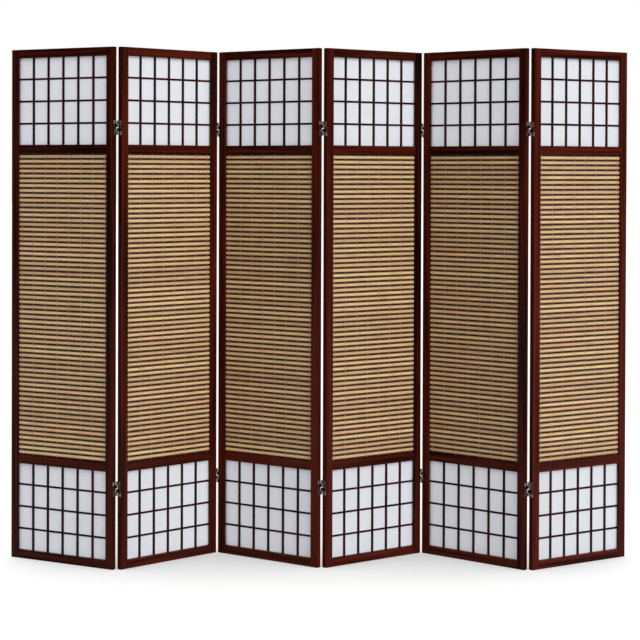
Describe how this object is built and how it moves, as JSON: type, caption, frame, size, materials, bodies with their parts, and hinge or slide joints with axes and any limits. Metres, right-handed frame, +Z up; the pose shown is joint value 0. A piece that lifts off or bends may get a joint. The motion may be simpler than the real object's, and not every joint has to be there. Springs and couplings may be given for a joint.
{
  "type": "folding screen",
  "caption": "Free-standing folding screen of hinged dark wood panels, each with papered lattices at top and bottom and a bamboo slat blind between.",
  "frame": {"origin": "on the floor, at the middle of the screen's plan as it stands in its zigzag", "axes": "+X along the screen, +Y towards its back, +Z up; the front, where the slats and the upright bars show, faces -Y"},
  "size_m": [2.1884, 0.3215, 1.8],
  "materials": {
    "frame_wood": "dark red-brown stained hardwood, glossy lacquer",
    "lattice_wood": "the frame's stain and lacquer on thin bars",
    "paper": "plain white translucent screen paper, matte",
    "bamboo": "split bamboo slats, tan, satin",
    "hinge_metal": "dark bronzed, satin",
    "pin_steel": "bright drawn rod"
  },
  "bodies": {
    "panel_1": {"panel_1_stiles": "frame_wood", "panel_1_rails": "frame_wood", "panel_1_upright_lattice_bars": "lattice_wood", "panel_1_cross_lattice_bars": "lattice_wood", "panel_1_paper_sheets": "paper", "panel_1_bamboo_slats": "bamboo", "panel_1_hinge_leaves": "hinge_metal", "panel_1_hinge_links": "hinge_metal", "panel_1_hinge_pins": "pin_steel"},
    "panel_2": {"panel_2_stiles": "frame_wood", "panel_2_rails": "frame_wood", "panel_2_upright_lattice_bars": "lattice_wood", "panel_2_cross_lattice_bars": "lattice_wood", "panel_2_paper_sheets": "paper", "panel_2_bamboo_slats": "bamboo", "panel_2_hinge_leaves": "hinge_metal", "panel_2_hinge_links": "hinge_metal", "panel_2_hinge_pins": "pin_steel"},
    "panel_3": {"panel_3_stiles": "frame_wood", "panel_3_rails": "frame_wood", "panel_3_upright_lattice_bars": "lattice_wood", "panel_3_cross_lattice_bars": "lattice_wood", "panel_3_paper_sheets": "paper", "panel_3_bamboo_slats": "bamboo", "panel_3_hinge_leaves": "hinge_metal", "panel_3_hinge_links": "hinge_metal", "panel_3_hinge_pins": "pin_steel"},
    "panel_4": {"panel_4_stiles": "frame_wood", "panel_4_rails": "frame_wood", "panel_4_upright_lattice_bars": "lattice_wood", "panel_4_cross_lattice_bars": "lattice_wood", "panel_4_paper_sheets": "paper", "panel_4_bamboo_slats": "bamboo", "panel_4_hinge_leaves": "hinge_metal", "panel_4_hinge_links": "hinge_metal", "panel_4_hinge_pins": "pin_steel"},
    "panel_5": {"panel_5_stiles": "frame_wood", "panel_5_rails": "frame_wood", "panel_5_upright_lattice_bars": "lattice_wood", "panel_5_cross_lattice_bars": "lattice_wood", "panel_5_paper_sheets": "paper", "panel_5_bamboo_slats": "bamboo", "panel_5_hinge_leaves": "hinge_metal", "panel_5_hinge_links": "hinge_metal", "panel_5_hinge_pins": "pin_steel"},
    "panel_6": {"panel_6_stiles": "frame_wood", "panel_6_rails": "frame_wood", "panel_6_upright_lattice_bars": "lattice_wood", "panel_6_cross_lattice_bars": "lattice_wood", "panel_6_paper_sheets": "paper", "panel_6_bamboo_slats": "bamboo", "panel_6_hinge_leaves": "hinge_metal", "panel_6_hinge_links": "hinge_metal", "panel_6_hinge_pins": "pin_steel"}
  },
  "joints": [
    {"name": "fold_2_3", "type": "hinge", "parent": "panel_3", "child": "panel_2", "pos_m": [-0.36486, 0.13848, 0.9], "axis": [0, 0, 1], "range_deg": [-77.5, 102.5]},
    {"name": "fold_1_2", "type": "hinge", "parent": "panel_2", "child": "panel_1", "pos_m": [-0.70411, -0.14007, 0.9], "axis": [0, 0, -1], "range_deg": [-71, 109]},
    {"name": "fold_3_4", "type": "hinge", "parent": "panel_3", "child": "panel_4", "pos_m": [0.00374, -0.09988, 0.9], "axis": [0, 0, 1], "range_deg": [-71.5, 108.5]},
    {"name": "fold_4_5", "type": "hinge", "parent": "panel_4", "child": "panel_5", "pos_m": [0.37025, 0.14169, 0.9], "axis": [0, 0, -1], "range_deg": [-76.5, 103.5]},
    {"name": "fold_5_6", "type": "hinge", "parent": "panel_5", "child": "panel_6", "pos_m": [0.71668, -0.12789, 0.9], "axis": [0, 0, 1], "range_deg": [-73, 107]}
  ]
}
